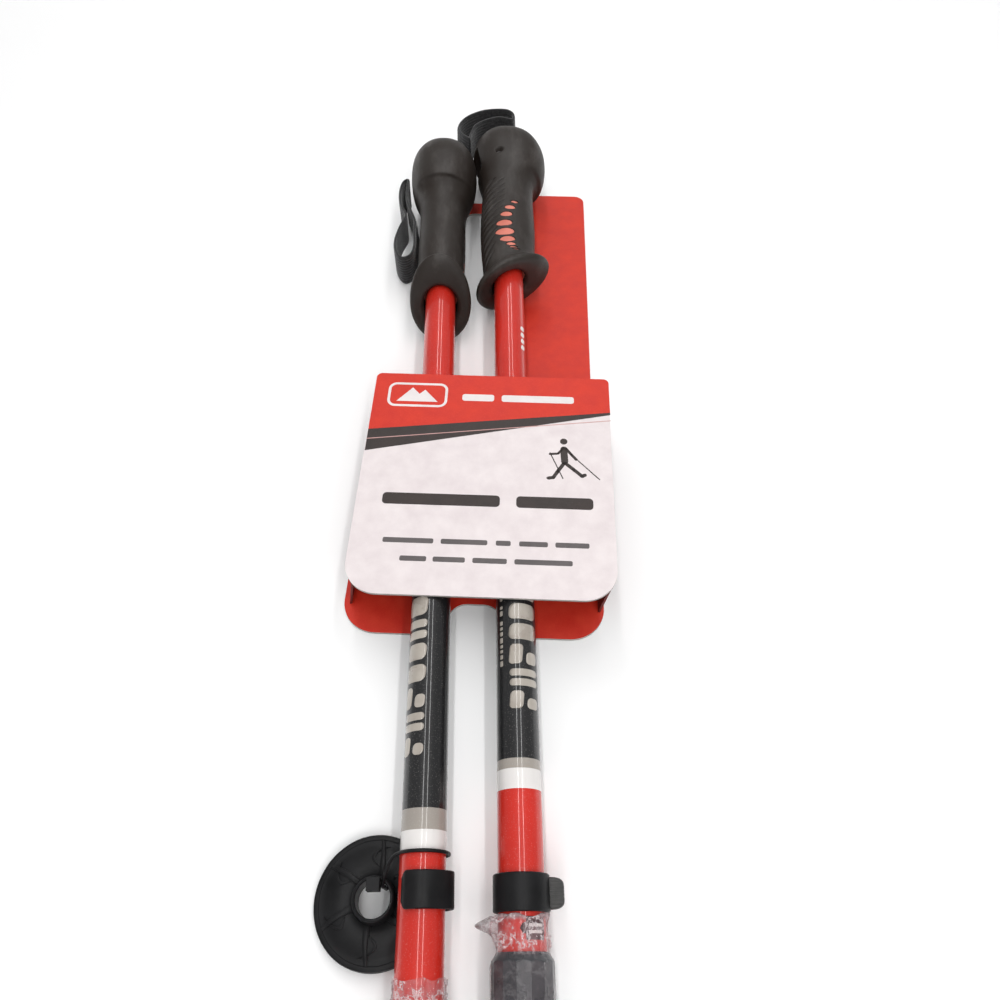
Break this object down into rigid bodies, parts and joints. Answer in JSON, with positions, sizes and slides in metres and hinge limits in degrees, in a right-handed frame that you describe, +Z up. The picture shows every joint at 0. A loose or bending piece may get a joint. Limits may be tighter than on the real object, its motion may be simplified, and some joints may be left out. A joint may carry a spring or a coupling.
{
  "type": "trekking poles",
  "caption": "Pair of twist-lock telescopic trekking poles with moulded grips and wrist straps, collapsed in a printed card sleeve with a spare basket.",
  "frame": {"origin": "on the ground under the middle of the bundle's bounding box", "axes": "+Y along the poles towards the grips, +Z up, +X to the right seen from the tips"},
  "size_m": [0.1416, 0.7358, 0.0529],
  "materials": {
    "grip_rubber": "satin moulded rubber, dark grey-brown black",
    "grip_core": "matt salmon-red plastic",
    "pin_steel": "drawn steel",
    "lock_plastic": "matt black plastic",
    "webbing": "black ribbed polyester webbing",
    "painted_tube": "gloss red lacquer with black, silver and white bands",
    "bare_tube": "satin anodised",
    "collar_plastic": "satin dark grey plastic",
    "bush_plastic": "matt grey plastic",
    "clip_plastic": "semi-gloss black plastic",
    "film": "clear crinkled film",
    "expander_plastic": "natural nylon",
    "lock_metal": "machined",
    "stud_metal": "machined",
    "tip_plastic": "matt black plastic",
    "carbide": "sintered carbide",
    "foot_rubber": "matt black rubber",
    "basket_plastic": "matt black plastic with a light sheen",
    "tie_plastic": "smooth black nylon",
    "card": "printed layered cardboard, red and white"
  },
  "bodies": {
    "sleeve": {"card_front": "card", "card_back": "card", "card_left_side": "card", "card_right_side": "card"},
    "left_pole": {"left_grip": "grip_rubber", "left_grip_core": "grip_core", "left_strap_pin": "pin_steel", "left_strap_lock": "lock_plastic", "left_strap_tail": "webbing", "left_upper_tube": "painted_tube", "left_twist_collar": "collar_plastic", "left_collar_bush": "bush_plastic", "left_film_sleeve": "film"},
    "left_strap": {"left_wrist_strap": "webbing"},
    "left_clip": {"left_snap_clip": "clip_plastic"},
    "left_middle_lock": {"left_middle_expander": "expander_plastic"},
    "left_middle_nut": {"left_middle_cone": "lock_metal"},
    "left_middle": {"left_middle_stud": "stud_metal", "left_middle_tube": "bare_tube", "left_lower_collar": "collar_plastic"},
    "left_lower_lock": {"left_lower_expander": "expander_plastic"},
    "left_lower_nut": {"left_lower_cone": "lock_metal"},
    "left_lower": {"left_lower_stud": "stud_metal", "left_lower_tube": "bare_tube", "left_tip_ferrule": "tip_plastic", "left_carbide_tip": "carbide"},
    "left_foot": {"left_rubber_foot": "foot_rubber"},
    "right_pole": {"right_grip": "grip_rubber", "right_grip_core": "grip_core", "right_strap_pin": "pin_steel", "right_strap_lock": "lock_plastic", "right_strap_tail": "webbing", "right_upper_tube": "painted_tube", "right_twist_collar": "collar_plastic", "right_collar_bush": "bush_plastic", "right_film_sleeve": "film"},
    "right_strap": {"right_wrist_strap": "webbing"},
    "right_clip": {"right_snap_clip": "clip_plastic"},
    "right_middle_lock": {"right_middle_expander": "expander_plastic"},
    "right_middle_nut": {"right_middle_cone": "lock_metal"},
    "right_middle": {"right_middle_stud": "stud_metal", "right_middle_tube": "bare_tube", "right_lower_collar": "collar_plastic"},
    "right_lower_lock": {"right_lower_expander": "expander_plastic"},
    "right_lower_nut": {"right_lower_cone": "lock_metal"},
    "right_lower": {"right_lower_stud": "stud_metal", "right_lower_tube": "bare_tube", "right_tip_ferrule": "tip_plastic", "right_carbide_tip": "carbide"},
    "right_foot": {"right_rubber_foot": "foot_rubber"},
    "tie": {"cable_tie": "tie_plastic", "cable_tie_head": "tie_plastic"},
    "basket": {"basket": "basket_plastic"}
  },
  "joints": [
    {"name": "sleeve_slide", "type": "slide", "parent": "left_pole", "child": "sleeve", "axis": [0.0061, -0.9997, -0.0227], "range_m": [0, 0.04]},
    {"name": "right_pole_slide", "type": "slide", "parent": "left_pole", "child": "right_pole", "axis": [0.0061, 0.9997, 0.0227], "range_m": [0, 0.04]},
    {"name": "left_strap_swing", "type": "hinge", "parent": "left_pole", "child": "left_strap", "pos_m": [-0.05436, 0.3032, 0.016], "axis": [0, 0, 1], "range_deg": [-35, 0]},
    {"name": "left_clip_slide", "type": "slide", "parent": "left_pole", "child": "left_clip", "axis": [0.0061, -0.9997, -0.0227], "range_m": [0, 0.02]},
    {"name": "left_middle_extend", "type": "slide", "parent": "left_pole", "child": "left_middle_lock", "axis": [0.0061, -0.9997, -0.0227], "range_m": [0, 0.335]},
    {"name": "left_middle_twist", "type": "hinge", "parent": "left_middle_lock", "child": "left_middle", "pos_m": [-0.02802, 0.1872, 0.02359], "axis": [-0.0061, 0.9997, 0.0227], "range_deg": [0, 360]},
    {"name": "left_middle_nut_draw", "type": "slide", "parent": "left_middle_lock", "child": "left_middle_nut", "axis": [0.0061, -0.9997, -0.0227], "range_m": [0, 0.0031]},
    {"name": "left_lower_extend", "type": "slide", "parent": "left_middle", "child": "left_lower_lock", "axis": [0.0061, -0.9997, -0.0227], "range_m": [0, 0.3]},
    {"name": "left_lower_twist", "type": "hinge", "parent": "left_lower_lock", "child": "left_lower", "pos_m": [-0.02762, 0.12222, 0.02212], "axis": [-0.0061, 0.9997, 0.0227], "range_deg": [0, 360]},
    {"name": "left_lower_nut_draw", "type": "slide", "parent": "left_lower_lock", "child": "left_lower_nut", "axis": [0.0061, -0.9997, -0.0227], "range_m": [0, 0.0031]},
    {"name": "left_foot_pull", "type": "slide", "parent": "left_lower", "child": "left_foot", "axis": [0.0061, -0.9997, -0.0227], "range_m": [0, 0.04]},
    {"name": "right_strap_swing", "type": "hinge", "parent": "right_pole", "child": "right_strap", "pos_m": [-0.01096, 0.3296, 0.016], "axis": [0, 0, 1], "range_deg": [0, 35]},
    {"name": "right_clip_slide", "type": "slide", "parent": "right_pole", "child": "right_clip", "axis": [0.0061, 0.9997, 0.0227], "range_m": [0, 0.024]},
    {"name": "right_middle_extend", "type": "slide", "parent": "right_pole", "child": "right_middle_lock", "axis": [-0.0061, -0.9997, -0.0227], "range_m": [0, 0.335]},
    {"name": "right_middle_twist", "type": "hinge", "parent": "right_middle_lock", "child": "right_middle", "pos_m": [0.0137, 0.2056, 0.02359], "axis": [0.0061, 0.9997, 0.0227], "range_deg": [0, 360]},
    {"name": "right_middle_nut_draw", "type": "slide", "parent": "right_middle_lock", "child": "right_middle_nut", "axis": [-0.0061, -0.9997, -0.0227], "range_m": [0, 0.0031]},
    {"name": "right_lower_extend", "type": "slide", "parent": "right_middle", "child": "right_lower_lock", "axis": [-0.0061, -0.9997, -0.0227], "range_m": [0, 0.3]},
    {"name": "right_lower_twist", "type": "hinge", "parent": "right_lower_lock", "child": "right_lower", "pos_m": [0.0133, 0.14062, 0.02212], "axis": [0.0061, 0.9997, 0.0227], "range_deg": [0, 360]},
    {"name": "right_lower_nut_draw", "type": "slide", "parent": "right_lower_lock", "child": "right_lower_nut", "axis": [-0.0061, -0.9997, -0.0227], "range_m": [0, 0.0031]},
    {"name": "right_foot_pull", "type": "slide", "parent": "right_lower", "child": "right_foot", "axis": [-0.0061, -0.9997, -0.0227], "range_m": [0, 0.04]},
    {"name": "tie_slide", "type": "slide", "parent": "left_pole", "child": "tie", "axis": [-0.0061, 0.9997, 0.0227], "range_m": [0, 0.05]},
    {"name": "basket_turn", "type": "hinge", "parent": "tie", "child": "basket", "pos_m": [-0.04521, -0.1418, 0.006], "axis": [0, 0, 1], "range_deg": [-12, 12]}
  ],
  "couplings": [
    {"joint": "left_middle_nut_draw", "follows": "left_middle_twist", "m_per_rad": 0.00047746},
    {"joint": "left_lower_nut_draw", "follows": "left_lower_twist", "m_per_rad": 0.00047746},
    {"joint": "right_middle_nut_draw", "follows": "right_middle_twist", "m_per_rad": 0.00047746},
    {"joint": "right_lower_nut_draw", "follows": "right_lower_twist", "m_per_rad": 0.00047746}
  ]
}
